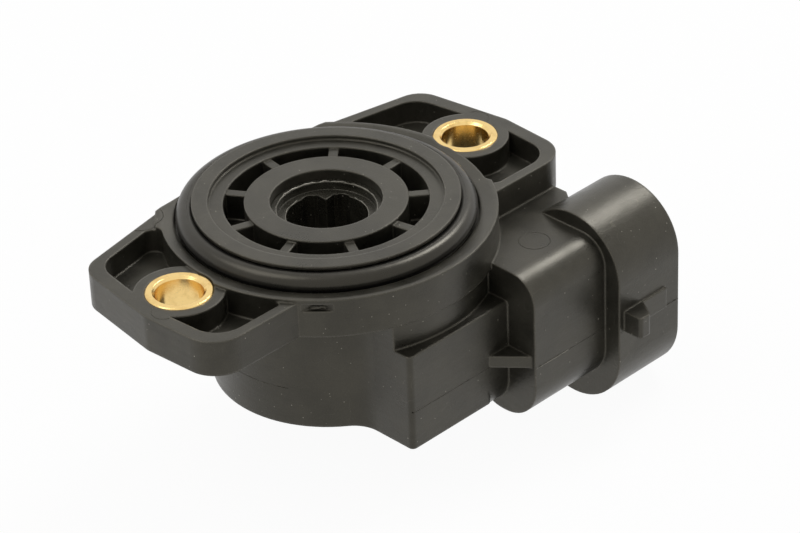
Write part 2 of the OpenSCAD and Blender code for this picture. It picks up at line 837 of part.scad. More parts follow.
// Stamped terminal: blade, jog, run behind the block's wall, step to the board and tail
module terminal(k) {
    z = pin_z[k];
    x = tail_x[k];
    tail_z = board_low - pin_t;
    step_y = -can_bore_r - 1.3;
    step_low = min(z - pin_t / 2, tail_z);
    step_high = max(z + pin_t / 2, tail_z + pin_t);
    color("#b8b9b4") {
        translate([0, 0, z - pin_t / 2])
            linear_extrude(pin_t) {
                translate([jog_x - pin_w / 2, -socket_y - pin_w / 2])
                    square([pin_tip - 1 - jog_x + pin_w / 2, pin_w]);
                translate([pin_tip - 1, -socket_y])
                    polygon([[0, -pin_w / 2], [1, -pin_w / 5], [1, pin_w / 5], [0, pin_w / 2]]);
                translate([jog_x - pin_w / 2, -socket_y - pin_w / 2])
                    square([pin_w, run_y + socket_y + pin_w]);
                translate([x - pin_w / 2, run_y - pin_w / 2])
                    square([jog_x - x + pin_w / 2, pin_w]);
                translate([x - pin_w / 2, run_y - pin_w / 2])
                    square([pin_w, step_y - run_y + pin_w / 2]);
            }
        translate([x - pin_w / 2, step_y - pin_t, step_low])
            cube([pin_w, pin_t, step_high - step_low]);
        difference() {
            translate([x - pin_w / 2, step_y - pin_t, tail_z])
                cube([pin_w, tail_y + pin_w / 2 - step_y + pin_t, pin_t - seat_gap]);
            translate([x, tail_y, tail_z - eps])
                cylinder(r = rivet_r + seat_gap, h = pin_t + 2 * eps);
        }
    }
}

module terminal_ground() { terminal(0); }
module terminal_signal() { terminal(1); }
module terminal_supply() { terminal(2); }

// Rivet through a terminal's tail and the board
module board_rivet(k) {
    head_h = 0.4;
    low = board_low - pin_t - seat_gap;
    color("#c2c2bc")
        translate([tail_x[k], tail_y, 0])
            rotate_extrude()
                polygon([[0, low - head_h], [rivet_head_r, low - head_h], [rivet_head_r, low],
                         [rivet_r, low], [rivet_r, board_top], [rivet_head_r, board_top],
                         [rivet_head_r - 0.2, board_top + head_h], [0, board_top + head_h]]);
}

module board_rivet_1() { board_rivet(0); }
module board_rivet_2() { board_rivet(1); }
module board_rivet_3() { board_rivet(2); }

// Flat rubber frame between the cover and the ledge in the can
module cover_gasket() {
    color("#222222")
        translate([0, 0, cover_in])
            linear_extrude(gasket_t - seat_gap)
                difference() {
                    cover_outline(-0.1);
                    circle(can_bore_r);
                    translate([block_left + block_wall, -block_front + block_wall])
                        square([block_right - block_left - 2 * block_wall,
                                block_front - block_wall - 6]);
                }
}

// Back cover with the socket for the rotor's pivot
module back_cover() {
    socket_r = pivot_r + 1.4;
    color("#262625")
        difference() {
            union() {
                translate([0, 0, -can_depth])
                    linear_extrude(cover_t - seat_gap) cover_outline(-0.1);
                translate([0, 0, cover_in - 1])
                    cylinder(r = socket_r, h = board_low - 0.6 - cover_in + 1);
            }
            translate([0, 0, pivot_low - 0.1])
                cylinder(r = pivot_r + run_gap, h = board_low - pivot_low);
        }
}

housing();
bush_left();
bush_right();
face_seal();
rotor();
shaft_seal();
thrust_washer();
wiper_plate();
track_brush();
collector_brush();
track_board();
resistance_track();
collector_track();
terminal_ground();
terminal_signal();
terminal_supply();
board_rivet_1();
board_rivet_2();
board_rivet_3();
cover_gasket();
back_cover();
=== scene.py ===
# %% [markdown]
# A rotary position sensor, dressed for a photograph
#
# The solid parts come from the packed model: a black moulded housing with two screw ears, a
# ribbed hub with a keyed rotor in it, a rubber ring and a plug socket at the side. This lesson
# gives every part the finish of the real one, adds what a mould, a lathe and some handling
# leave on such a sensor, and sets up the camera and a white light tent round it.

# %% Load the packed model
import json
import math
import bmesh
import bpy
from mathutils import Matrix, Vector, noise

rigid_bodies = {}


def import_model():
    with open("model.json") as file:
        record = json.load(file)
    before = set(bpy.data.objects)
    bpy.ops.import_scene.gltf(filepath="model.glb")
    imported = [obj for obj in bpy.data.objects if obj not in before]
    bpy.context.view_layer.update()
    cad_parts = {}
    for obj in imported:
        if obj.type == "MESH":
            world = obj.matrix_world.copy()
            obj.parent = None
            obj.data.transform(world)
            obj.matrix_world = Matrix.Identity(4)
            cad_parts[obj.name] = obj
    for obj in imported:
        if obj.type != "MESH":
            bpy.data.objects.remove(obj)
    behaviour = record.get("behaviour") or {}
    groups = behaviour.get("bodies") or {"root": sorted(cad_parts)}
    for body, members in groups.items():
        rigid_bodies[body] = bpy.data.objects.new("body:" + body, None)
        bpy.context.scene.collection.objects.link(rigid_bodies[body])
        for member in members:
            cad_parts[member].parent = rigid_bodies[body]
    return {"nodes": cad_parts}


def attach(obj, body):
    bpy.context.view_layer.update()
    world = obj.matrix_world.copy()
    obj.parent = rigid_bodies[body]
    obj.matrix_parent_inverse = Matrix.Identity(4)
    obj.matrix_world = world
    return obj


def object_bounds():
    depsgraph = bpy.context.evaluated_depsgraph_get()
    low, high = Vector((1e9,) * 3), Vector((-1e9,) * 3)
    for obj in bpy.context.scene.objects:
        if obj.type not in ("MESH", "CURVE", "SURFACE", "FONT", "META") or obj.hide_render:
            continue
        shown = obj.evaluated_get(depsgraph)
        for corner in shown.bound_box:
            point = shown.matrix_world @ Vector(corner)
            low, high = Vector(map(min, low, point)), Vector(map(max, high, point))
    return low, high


for leftover in list(bpy.data.objects):
    bpy.data.objects.remove(leftover)
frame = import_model()
nodes = frame["nodes"]
cad_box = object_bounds()
MM = 0.001
print("CAD box in mm:", [[round(v / MM, 2) for v in corner] for corner in cad_box])

# %% [markdown]
# The camera
#
# The photograph was taken with a long lens from well above the left ear. The camera's place
# was worked out from the two brass bushes and the round flange. It is written here as a turn
# round the shaft axis, a height above the horizon and a small roll. The object isn't in the
# middle of the picture, and moving the camera sideways keeps the lens shift at zero.

# %% Place the camera
def camera_axes(turn, height, roll):
    """Right, up and back of a camera, for angles in degrees."""
    a, e, r = (math.radians(v) for v in (turn, height, roll))
    back = Vector((math.sin(a) * math.cos(e), -math.cos(a) * math.cos(e), math.sin(e)))
    right = Vector((math.cos(a), math.sin(a), 0))
    up = back.cross(right)
    return (math.cos(r) * right + math.sin(r) * up, math.cos(r) * up - math.sin(r) * right, back)


SENSOR_WIDTH = 36
PICTURE_WIDTH = 800
FOCAL_PIXELS = 3538.284
TURN, HEIGHT, ROLL = -43.982, 32.227, -2.338
TO_RIGHT, UPWARDS, AWAY = 8.339, -6.371, 403.529
right, up, back = camera_axes(TURN, HEIGHT, ROLL)
lens = bpy.data.cameras.new("camera")
lens.sensor_width = SENSOR_WIDTH
lens.lens = SENSOR_WIDTH * FOCAL_PIXELS / PICTURE_WIDTH
lens.clip_start = 0.01
camera = bpy.data.objects.new("camera", lens)
place = (right * TO_RIGHT + up * UPWARDS + back * AWAY) * MM
camera.matrix_world = Matrix.Translation(place) @ Matrix((right, up, back)).transposed().to_4x4()
bpy.context.scene.collection.objects.link(camera)
bpy.context.scene.camera = camera
print("lens of", round(lens.lens, 1), "mm at", round(camera.location.length / MM), "mm")

# %% [markdown]
# Writing a material as a sum
#
# Blender's materials are graphs of nodes. Wiring them by hand hides the idea, so one small
# class wraps an output of a node: adding, multiplying or comparing two wires makes the Math
# node that does it. A finish then reads like the sentence that describes it.

# %% Wrap an output of a node
class Wire:
    """An output of a node, which Python's operators can join to numbers and other wires."""

    def __init__(self, bench, socket):
        self.bench = bench
        self.socket = socket

    def maths(self, operation, *others, clamp=False):
        settings = {"operation": operation, "use_clamp": clamp}
        values = {i: v for i, v in enumerate((self,) + others)}
        return self.bench.node("Math", settings, values)

    def __add__(self, other):
        return self.maths("ADD", other)

    def __radd__(self, other):
        return self.maths("ADD", other)

    def __sub__(self, other):
        return self.maths("SUBTRACT", other)

    def __rsub__(self, other):
        return self.bench.node("Math", {"operation": "SUBTRACT"}, {0: other, 1: self})

    def __mul__(self, other):
        return self.maths("MULTIPLY", other)

    def __rmul__(self, other):
        return self.maths("MULTIPLY", other)

    def clamped(self):
        return self.maths("ADD", 0.0, clamp=True)

    def most(self, other):
        return self.maths("MAXIMUM", other)

    def size(self):
        return self.maths("ABSOLUTE")

    def wave(self):
        return self.maths("SINE")

    def step(self, low, high):
        """0 below low, 1 above high, and a soft rise between them."""
        settings = {"interpolation_type": "SMOOTHSTEP"}
        return self.bench.node("MapRange", settings, {"Value": self, "From Min": low, "From Max": high})


print("wires can:", [name for name in vars(Wire) if not name.startswith("_")])

# %% [markdown]
# The bench that the wires lie on
#
# Each material has its own tree of nodes, and so has the world. A bench adds nodes to one tree
# and knows the few groups of nodes that come back in every finish: a place in millimetres, a
# cloud, a mix of two colours, a rounded edge and a relief.

# %% Set up the bench
MIX_COLOUR_A = 6
MIX_COLOUR_B = 7
MIX_COLOUR_OUT = 2


class Bench:
    """The node tree of a material or a world, with helpers that add nodes to it."""

    def __init__(self, owner):
        self.owner = owner
        owner.use_nodes = True
        self.tree = owner.node_tree

    def node(self, kind, settings=None, values=None, out=0):
        """Adds a node: its settings first, then the value or wire of each socket."""
        made = self.tree.nodes.new("ShaderNode" + kind)
        for key, value in (settings or {}).items():
            setattr(made, key, value)
        for key, value in (values or {}).items():
            self.plug(made.inputs[key], value)
        return Wire(self, made.outputs[out])

    def plug(self, socket, value):
        if isinstance(value, Wire):
            self.tree.links.new(value.socket, socket)
        else:
            socket.default_value = value

    def place(self):
        """Where a point of the part is, in millimetres from the shaft axis."""
        coords = self.node("TexCoord", out="Object")
        return self.node("VectorMath", {"operation": "SCALE"}, {"Vector": coords, "Scale": 1000.0})

    def stretch(self, vector, by):
        return self.node("VectorMath", {"operation": "MULTIPLY"}, {0: vector, 1: by})

    def cloud(self, vector, scale, detail=2.0, rough=0.5):
        values = {"Vector": vector, "Scale": scale, "Detail": detail, "Roughness": rough}
        return self.node("TexNoise", None, values)

    def cells(self, vector, scale):
        return self.node("TexVoronoi", {"feature": "F1"}, {"Vector": vector, "Scale": scale})

    def blend(self, amount, first, second):
        """Mixes two colours, given as wires or as red, green and blue."""
        pair = [c if isinstance(c, Wire) else (*c, 1.0) for c in (first, second)]
        values = {"Factor": amount, MIX_COLOUR_A: pair[0], MIX_COLOUR_B: pair[1]}
        return self.node("Mix", {"data_type": "RGBA"}, values, out=MIX_COLOUR_OUT)

    def soft_edge(self, radius):
        """A normal that rounds the edges, as a mould or a tumbler leaves them."""
        return self.node("Bevel", {"samples": 4}, {"Radius": radius * MM})

    def edge_mask(self, rounded):
        """1 where the rounded normal leaves the face's own normal, so along every edge."""
        own = self.node("NewGeometry", out="Normal")
        match = self.node("VectorMath", {"operation": "DOT_PRODUCT"}, {0: rounded, 1: own}, out="Value")
        return (1 - match).step(0.01, 0.22)

    def relief(self, height, depth, over=None):
        """Small height, in millimetres, turned into a normal."""
        values = {"Height": height, "Distance": depth * MM, "Strength": 1.0}
        if over:
            values["Normal"] = over
        return self.node("Bump", None, values)

    def finish(self, **sockets):
        """Sets the Principled shader; an underscore in a name stands for a space."""
        for name, value in sockets.items():
            self.plug(self.tree.nodes["Principled BSDF"].inputs[name.replace("_", " ")], value)
        return self.owner


def new_material(name):
    return Bench(bpy.data.materials.new(name))


print("the bench can:", [name for name in vars(Bench) if not name.startswith("_")])

# %% [markdown]
# Black moulded plastic
#
# The housing is glass-filled plastic. Its colour is close to black, and most of what the eye
# sees is a soft mirror image of the white surroundings, so the roughness matters more than the
# colour. The mould's skin is lightly eroded, which gives a fine grain; handling leaves cloudy
# patches where the gloss changes; and pale dust collects in small specks. Every edge, hollow
# corners too, is painted lighter: partly rubbing wear and partly a painted highlight. A few
# hairline scratches cross the flats. Flash that is thin enough to let light through looks grey
# instead of black, and its pale colour is partly a painted highlight as well.

# %% Make the moulded plastic
def moulded_plastic(name, dark, light, gloss, grain, dust, edge):
    bench = new_material(name)
    place = bench.place()
    handling = bench.cloud(place, 0.16, 3.0, 0.6)
    grit = bench.cloud(place, 5.5, 3.0, 0.65)
    flow = bench.cloud(bench.stretch(place, (0.9, 0.9, 3.5)), 0.5, 2.0)
    speck = 1 - bench.cells(place, 1.15).step(0.04, 0.1)
    rare = bench.cloud(place, 0.6, 2.0).step(0.44, 0.6)
    specks = speck * rare * dust
    hair = (bench.cloud(place, 0.35, 1.0) - 0.5).size()
    scratch = (1 - hair.step(0.0006, 0.003)) * bench.cloud(place, 0.22, 2.0).step(0.52, 0.6)
    rounded = bench.soft_edge(edge)
    # Painted highlight: every edge, hollow corners too, is lightened, partly as rubbing wear and partly
    # as painted light.
    edge_wear_and_highlight = bench.edge_mask(rounded) * (grit.step(0.3, 0.6) * 0.5 + 0.5)
    tone = bench.blend(handling.step(0.3, 0.72) * 0.7 + grit.step(0.35, 0.7) * 0.3, dark, light)
    # This pale colour paints the edge highlight and also colours the lighter hairline scratches.
    tone = bench.blend(edge_wear_and_highlight * 0.85 + scratch * 0.3, tone, (0.12, 0.112, 0.09))
    colour = bench.blend(specks, tone, (0.42, 0.4, 0.34))
    rough = (handling - 0.5) * 0.2 + (grit - 0.5) * 0.16 + (flow - 0.5) * 0.12 + gloss + specks * 0.2
    height = grit * grain + flow * 0.02 + specks * 0.02 - scratch * 0.004
    normal = bench.relief(height, 1.0, rounded)
    return bench.finish(Base_Color=colour, Roughness=rough.clamped(), Normal=normal, IOR=1.56,
                        Specular_IOR_Level=0.5, Specular_Tint=(1.0, 0.94, 0.79, 1.0))


housing_black = moulded_plastic("black_moulding", (0.004, 0.004, 0.003), (0.032, 0.03, 0.0235),
                                0.33, 0.022, 0.9, 0.38)
cover_black = moulded_plastic("cover_moulding", (0.008, 0.008, 0.007), (0.02, 0.019, 0.016),
                              0.42, 0.02, 0.6, 0.2)
rotor_grey = moulded_plastic("rotor_moulding", (0.009, 0.0088, 0.0065), (0.026, 0.0245, 0.019),
                             0.28, 0.012, 0.9, 0.16)
# Pale colour: partly thin flash that lets light through, and partly a painted highlight on the flash.
pale_flash_and_glint = moulded_plastic("pale_flash_and_glint", (0.06, 0.056, 0.045), (0.5, 0.48, 0.42),
                             0.3, 0.01, 0.9, 0.03)
print("plastics:", housing_black.name, cover_black.name, rotor_grey.name, pale_flash_and_glint.name)

# %% [markdown]
# Turned brass
#
# The screw bushes are turned from brass rod. The lathe's tool leaves rings so fine that they
# only show as a soft streak in the gloss, and the metal has begun to tarnish in faint clouds.

# %% Make the turned brass
BUSH_X = 22.75
RINGS_ACROSS = 58
RINGS_ALONG = 44


def turned_brass(name, centre_x):
    bench = new_material(name)
    place = bench.place()
    centred = bench.node("VectorMath", {"operation": "SUBTRACT"}, {0: place, 1: (centre_x, 0, 0)})
    flat = bench.stretch(centred, (1, 1, 0))
    radius = bench.node("VectorMath", {"operation": "LENGTH"}, {0: flat}, out="Value")
    height = bench.node("SeparateXYZ", None, {0: place}, out="Z")
    wander = bench.cloud(place, 1.2, 3.0)
    across = ((radius + wander * 0.05) * RINGS_ACROSS).wave()
    along = ((height + wander * 0.04) * RINGS_ALONG).wave()
    rings = across * 0.5 + along * 0.5
    tarnish = bench.cloud(place, 0.55, 4.0, 0.6).step(0.45, 0.8)
    spots = (1 - bench.cells(place, 2.1).step(0.04, 0.12)) * 0.5
    colour = bench.blend(tarnish, (0.86, 0.62, 0.26), (0.66, 0.43, 0.15))
    colour = bench.blend(spots, colour, (0.35, 0.23, 0.08))
    rough = tarnish * 0.12 + rings * 0.025 + spots * 0.2 + 0.2
    normal = bench.relief(rings * 0.0016 + wander * 0.004, 1.0, bench.soft_edge(0.1))
    return bench.finish(Base_Color=colour, Metallic=1.0, Roughness=rough, Normal=normal)


brass_left = turned_brass("turned_brass_left", -BUSH_X)
brass_right = turned_brass("turned_brass_right", BUSH_X)
print("brass:", brass_left.name, brass_right.name)

# %% [markdown]
# Rubber, metal strip and printed board
#
# The seal is black nitrile rubber: as dark as the housing, smoother, with a faint bloom where
# it was handled. The pieces inside the can are hardly ever seen, but they still get the
# finish of the real ones: rolled bronze, tin plate, green laminate, carbon and silver ink.

# %% Make the rubber and the small metals
def seal_rubber(name, gloss):
    bench = new_material(name)
    place = bench.place()
    bloom = bench.cloud(place, 0.3, 4.0, 0.6)
    pits = bench.cloud(place, 7.0, 2.0)
    colour = bench.blend(bloom.step(0.45, 0.8), (0.006, 0.006, 0.0058), (0.014, 0.0135, 0.012))
    rough = (bloom - 0.5) * 0.18 + (pits - 0.5) * 0.08 + gloss
    normal = bench.relief(pits * 0.006 + bloom * 0.03, 1.0)
    return bench.finish(Base_Color=colour, Roughness=rough, Normal=normal, IOR=1.5,
                        Specular_Tint=(1.0, 0.93, 0.77, 1.0))


def rolled_metal(name, colour, worn, gloss, along):
    bench = new_material(name)
    place = bench.place()
    drawn = bench.cloud(bench.stretch(place, along), 6.0, 3.0)
    stain = bench.cloud(place, 1.1, 3.0).step(0.45, 0.75)
    shade = bench.blend(stain, colour, worn)
    rough = (drawn - 0.5) * 0.16 + stain * 0.1 + gloss
    normal = bench.relief(drawn * 0.003, 1.0, bench.soft_edge(0.04))
    return bench.finish(Base_Color=shade, Metallic=1.0, Roughness=rough, Normal=normal)


def printed_layer(name, colour, other, gloss, metal, weave):
    bench = new_material(name)
    place = bench.place()
    grain = bench.cloud(place, 4.0, 3.0)
    parts = [bench.node("SeparateXYZ", None, {0: place}, out=axis) for axis in ("X", "Y")]
    cloth = ((parts[0] * 9).wave() * (parts[1] * 9).wave()) * weave
    shade = bench.blend((grain.step(0.35, 0.7) * 0.6 + cloth * 0.4).clamped(), colour, other)
    normal = bench.relief(grain * 0.003 + cloth * 0.004, 1.0)
    rough = (grain - 0.5) * 0.2 + gloss
    return bench.finish(Base_Color=shade, Metallic=metal, Roughness=rough, Normal=normal)


rubber = seal_rubber("seal_rubber", 0.3)
bronze = rolled_metal("rolled_bronze", (0.75, 0.5, 0.26), (0.5, 0.32, 0.16), 0.3, (0.2, 2, 1))
steel = rolled_metal("rolled_steel", (0.6, 0.6, 0.6), (0.42, 0.41, 0.4), 0.3, (0.2, 2, 1))
tin = rolled_metal("tin_plate", (0.68, 0.67, 0.64), (0.5, 0.49, 0.46), 0.28, (0.3, 2, 2))
laminate = printed_layer("green_laminate", (0.03, 0.13, 0.06), (0.07, 0.2, 0.09), 0.35, 0.0, 1.0)
carbon = printed_layer("carbon_ink", (0.012, 0.012, 0.014), (0.022, 0.022, 0.024), 0.5, 0.0, 0.0)
silver = printed_layer("silver_ink", (0.62, 0.61, 0.58), (0.45, 0.44, 0.41), 0.4, 1.0, 0.0)
print("finishes:", len(bpy.data.materials))

# %% [markdown]
# Giving each packed part its finish
#
# The packed parts keep their own shapes. Only their material slots change, so the part that
# moves in the physics model and the part in the picture are the same.

# %% Dress the packed parts
finishes = {
    "housing": housing_black, "bush_left": brass_left, "bush_right": brass_right,
    "face_seal": rubber, "rotor": rotor_grey, "shaft_seal": rubber, "thrust_washer": steel,
    "wiper_plate": bronze, "track_brush": bronze, "collector_brush": bronze,
    "track_board": laminate, "resistance_track": carbon, "collector_track": silver,
    "terminal_ground": tin, "terminal_signal": tin, "terminal_supply": tin,
    "board_rivet_1": tin, "board_rivet_2": tin, "board_rivet_3": tin,
    "cover_gasket": rubber, "back_cover": cover_black}
for node_name, finish in finishes.items():
    mesh = nodes[node_name].data
    mesh.materials.clear()
    mesh.materials.append(finish)
print("dressed", len(finishes), "of", len(nodes), "parts")

# %% [markdown]
# Helpers for small moulded detail
#
# A mould leaves three kinds of mark: rings where ejector pins pushed the part out, a thin line
# where its halves met, and a torn stub where the plastic was let in. The rings and lines are
# less than 0.2 mm high. Each is a real piece of mesh, sunk a little into the surface that it
# belongs to, so it catches light from every side and goes along in an export.

# %% Turn points and faces into a piece
SUNK = 0.05
FINE_SUNK = 0.04


def piece(name, points, faces, finish, body, slot):
    """A mesh from points in millimetres, which rides on a body."""
    mesh = bpy.data.meshes.new(name)
    mesh.from_pydata([Vector(p) * MM for p in points], [], faces)
    mesh.validate()
    work = bmesh.new()
    work.from_mesh(mesh)
    bmesh.ops.recalc_face_normals(work, faces=work.faces)
    work.to_mesh(mesh)
    work.free()
    mesh.polygons.foreach_set("use_smooth", [True] * len(mesh.polygons))
    mesh.materials.append(finish)
    made = bpy.data.objects.new(name, mesh)
    bpy.context.scene.collection.objects.link(made)
    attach(made, body)
    return made


def swept(rings, closed):
    """Faces between rings of points; the last ring meets the first if it is closed."""
    count = len(rings[0])
    points = [p for ring in rings for p in ring]
    faces = []
    for i in range(len(rings) - (0 if closed else 1)):
        j = (i + 1) % len(rings)
        for k in range(count):
            m = (k + 1) % count
            faces.append((i * count + k, i * count + m, j * count + m, j * count + k))
    if not closed:
        faces.append(tuple(range(count)))
        faces.append(tuple((len(rings) - 1) * count + k for k in reversed(range(count))))
    return points, faces


print("piece and swept ready")

# %% [markdown]
# Ejector marks
#
# The photograph shows round witness lines on the flat tops: on the socket's body and on the
# ears, some cut off by an edge. An ejector pin stands a hair above or below the mould's face,
# so its print is a shallow disc with a fine raised lip. The lip is turned round its axis here,
# with a little wobble in its height, because worn tools never leave a perfect ring.

# %% Press the ejector marks
RIM_R = 19.6
RIM_HEIGHT = 0.4
LAND_R = 19.1
DISH_SLOPE = 0.25


def flange_height(x, y):
    """Height of the flange's face: a land at its edge and a slope down to the seal."""
    out = math.hypot(x, y)
    if out > RIM_R:
        return 0.0
    return RIM_HEIGHT - max(0.0, LAND_R - out) * DISH_SLOPE


def witness_ring(name, centre, radius, start=0, end=360, lip=0.06, high=0.035, on_flange=False):
    """A raised ring, or part of one, on a top. Centre and sizes in millimetres."""
    x, y, z = centre
    whole = end - start >= 360
    steps = max(12, int((end - start) / 6))
    rings = []
    for i in range(steps if whole else steps + 1):
        a = math.radians(start + (end - start) * i / steps)
        rise = high * (0.7 + 0.5 * noise.noise(Vector((x + 3 * math.cos(a), y, 3 * math.sin(a)))))
        section = [(radius - lip, -SUNK), (radius - lip * 0.5, rise * 0.8), (radius, rise),
                   (radius + lip * 0.5, rise * 0.8), (radius + lip, -SUNK)]
        foot = z
        if on_flange:
            foot = flange_height(x + radius * math.cos(a), y + radius * math.sin(a))
        rings.append([(x + r * math.cos(a), y + r * math.sin(a), foot + h) for r, h in section])
    return piece(name, *swept(rings, whole), housing_black, "housing", "housing_plastic")


marks = [
    witness_ring("ejector_mark_socket", (15.2, -18.1, -3.65), 1.8),
    witness_ring("ejector_mark_left_ear", (-15.35, 14.7, 0), 2.6, -146, -16, 0.08, 0.06, True),
    witness_ring("ejector_mark_left_boss", (-26.6, -1.9, 0), 1.5, 100, 250),
    witness_ring("ejector_mark_right_boss", (26.6, 1.9, 0), 1.5, -80, 70),
]
print("ejector marks:", len(marks))

# %% [markdown]
# The mould's parting line
#
# The socket was moulded with its two halves meeting at the level of the latch lug's foot. The
# melt creeps into that joint and leaves a thin ridge. It is a three-sided strip that follows
# the outline of each form, sunk a little into the wall, with a height that changes along it.
# On the left half of the socket's body it looks ragged and pale, so that stretch is higher and
# has the pale flash finish, whose colour is partly a painted highlight.

# %% Lay the parting line
PARTING_Z = -15.2
BODY_FRONT = -24.3
SHROUD_FRONT = -26.5
SHROUD_BACK = -12.1
BLOCK_FRONT = -20.1
CAN_R = 14.3


def parting_ridge(name, path, high=0.06, wide=0.1, finish=housing_black):
    """A ridge in the parting plane, along points with their outward directions."""
    rings = []
    for x, y, nx, ny in path:
        rise = high * (0.6 + 0.9 * noise.noise(Vector((x * 2.3, y * 2.3, PARTING_Z))))
        rings.append([(x - nx * SUNK, y - ny * SUNK, PARTING_Z + wide),
                      (x + nx * rise, y + ny * rise, PARTING_Z + 0.01),
                      (x - nx * SUNK, y - ny * SUNK, PARTING_Z - wide)])
    return piece(name, *swept(rings, False), finish, "housing", "housing_plastic")


def straight(x0, x1, wall_y, outward, steps=24):
    """Points along X on a wall, which faces +Y or -Y."""
    return [(x0 + (x1 - x0) * i / steps, wall_y, 0, outward) for i in range(steps + 1)]


def arc(radius, start, end, steps=60):
    """Points round the shaft axis, which face away from it."""
    turns = [math.radians(start + (end - start) * i / steps) for i in range(steps + 1)]
    return [(radius * math.cos(a), radius * math.sin(a), math.cos(a), math.sin(a)) for a in turns]


ridges = [
    parting_ridge("parting_line_body", straight(14.1, 20.25, BODY_FRONT, -1, 40)),
    parting_ridge("parting_flash_body", straight(8.6, 14.0, BODY_FRONT, -1, 70), 0.13, 0.07, pale_flash_and_glint),
    parting_ridge("parting_line_shroud_left", straight(20.35, 21.05, SHROUD_FRONT, -1)),
    parting_ridge("parting_line_shroud_mouth", straight(28.3, 30.5, SHROUD_FRONT, -1), 0.11),
    parting_ridge("parting_line_shroud_back", straight(20.4, 30.5, SHROUD_BACK, 1)),
    parting_ridge("parting_line_block", straight(-7.2, 5.5, BLOCK_FRONT, -1)),
    parting_ridge("parting_line_can", arc(CAN_R, -38, 205)),
]
print("parting ridges:", len(ridges))

# %% [markdown]
# The gate's torn stub
#
# On the flange's wall a half-moon slot shows where the plastic was let into the mould. The
# sprue was twisted off there and left a long, low, rough stub. A ball of small faces whose
# points are pushed in and out by noise gives such a torn surface, and it is stretched along
# the wall so that it stays in the slot.

# %% Tear off the gate
def torn_stub(name, turn, radius, z, size, seed):
    """A rough crumb on a wall round the shaft axis. Size is half its depth, length and height."""
    work = bmesh.new()
    bmesh.ops.create_icosphere(work, subdivisions=4, radius=1.0)
    c, s = math.cos(math.radians(turn)), math.sin(math.radians(turn))
    points = []
    for vert in work.verts:
        push = 1 + 0.5 * noise.noise(vert.co * 3.1 + Vector((seed, 0, 0)))
        out, along, high = (v * push * half for v, half in zip(vert.co, size))
        points.append(((radius + out) * c - along * s, (radius + out) * s + along * c, z + high))
    faces = [tuple(v.index for v in f.verts) for f in work.faces]
    work.free()
    return piece(name, points, faces, housing_black, "housing", "housing_plastic")


GATE_TURN = 222.6
GATE_WALL_R = 19.0
GATE_Z = -0.72
stub = torn_stub("gate_stub", GATE_TURN, GATE_WALL_R, GATE_Z, (0.35, 1.1, 0.24), 3.0)
print("gate stub:", stub.name)

# %% [markdown]
# Flash on the seal and on the rotor
#
# The rubber ring has a fine line along its crest where its own mould closed. The rotor's rim
# and the edge of its keyed hole carry thin, ragged flash, which shows as broken bright lines;
# its pale colour is partly a painted highlight. Both are strips along a circle whose height
# follows a noise.

# %% Leave the flash
def ragged_ring(name, radius, z, wide, high, ragged, finish, body, slot, seed, start=0, end=360):
    """A thin ridge round the shaft axis, or along part of a turn, that rises and falls."""
    whole = end - start == 360
    steps = int((end - start) / 2)
    rings = []
    for i in range(steps if whole else steps + 1):
        a = math.radians(start + (end - start) * i / steps)
        lift = noise.noise(Vector((radius * math.cos(a) * 1.3, radius * math.sin(a) * 1.3, seed)))
        rise = max(0.15, 1 + ragged * lift) * high
        rings.append([((radius - wide) * math.cos(a), (radius - wide) * math.sin(a), z - FINE_SUNK),
                      (radius * math.cos(a), radius * math.sin(a), z + rise),
                      ((radius + wide) * math.cos(a), (radius + wide) * math.sin(a), z - FINE_SUNK)])
    return piece(name, *swept(rings, whole), finish, body, slot)


flash = [
    ragged_ring("seal_mould_line", 15.95, 1.64, 0.07, 0.035, 0.6, rubber, "housing", "seal_rubber", 2.0),
    ragged_ring("rotor_rim_flash", 5.8, 0.4, 0.05, 0.09, 2.2, pale_flash_and_glint, "rotor", "rotor_plastic", 5.0),
    ragged_ring("keyed_hole_flash", 4.76, -0.6, 0.05, 0.1, 2.2, pale_flash_and_glint, "rotor", "rotor_plastic", 8.0,
                92, 364),
]
print("flash:", [ridge.name for ridge in flash])

# %% [markdown]
# Inside the plug socket
#
# A three-way plug can only be pushed in one way round, because low ribs on the socket's inner
# wall fit grooves in the plug. They can't be seen in the photograph, so their number and place
# follow common sockets of this kind. Each rib has a lead-in at the mouth.

# %% Add the polarising ribs
def socket_rib(name, y, z, side, wide=0.9, high=0.55):
    """A rib along the socket's flat inner wall; side is +1 for the +Y wall."""
    stations = [(22.0, high), (28.4, high), (29.6, high * 0.35), (29.9, 0.05)]
    rings = []
    for x, rise in stations:
        y_out = y + side * SUNK
        y_in = y - side * rise
        corner = min(0.2, rise * 0.6)
        rings.append([(x, y_out, z - wide / 2), (x, y_in + side * corner, z - wide / 2),
                      (x, y_in, z - wide / 2 + corner), (x, y_in, z + wide / 2 - corner),
                      (x, y_in + side * corner, z + wide / 2), (x, y_out, z + wide / 2)])
    return piece(name, *swept(rings, False), housing_black, "housing", "housing_plastic")


ribs = [socket_rib("socket_rib_1", -13.7, -9.6, 1), socket_rib("socket_rib_2", -13.7, -17.4, 1),
        socket_rib("socket_rib_3", -24.9, -18.6, -1)]
print("socket ribs:", len(ribs))

# %% [markdown]
# The back of the can
#
# The cover lies flush in the can's back. A low ring stiffens it, a second one stands round the
# place where the rotor's pivot runs behind it, and a small uneven ring in the middle is where
# the cover's own mould was fed. All three are turned round the shaft axis.

# %% Raise the cover's rings
CAN_BACK_Z = -20.1


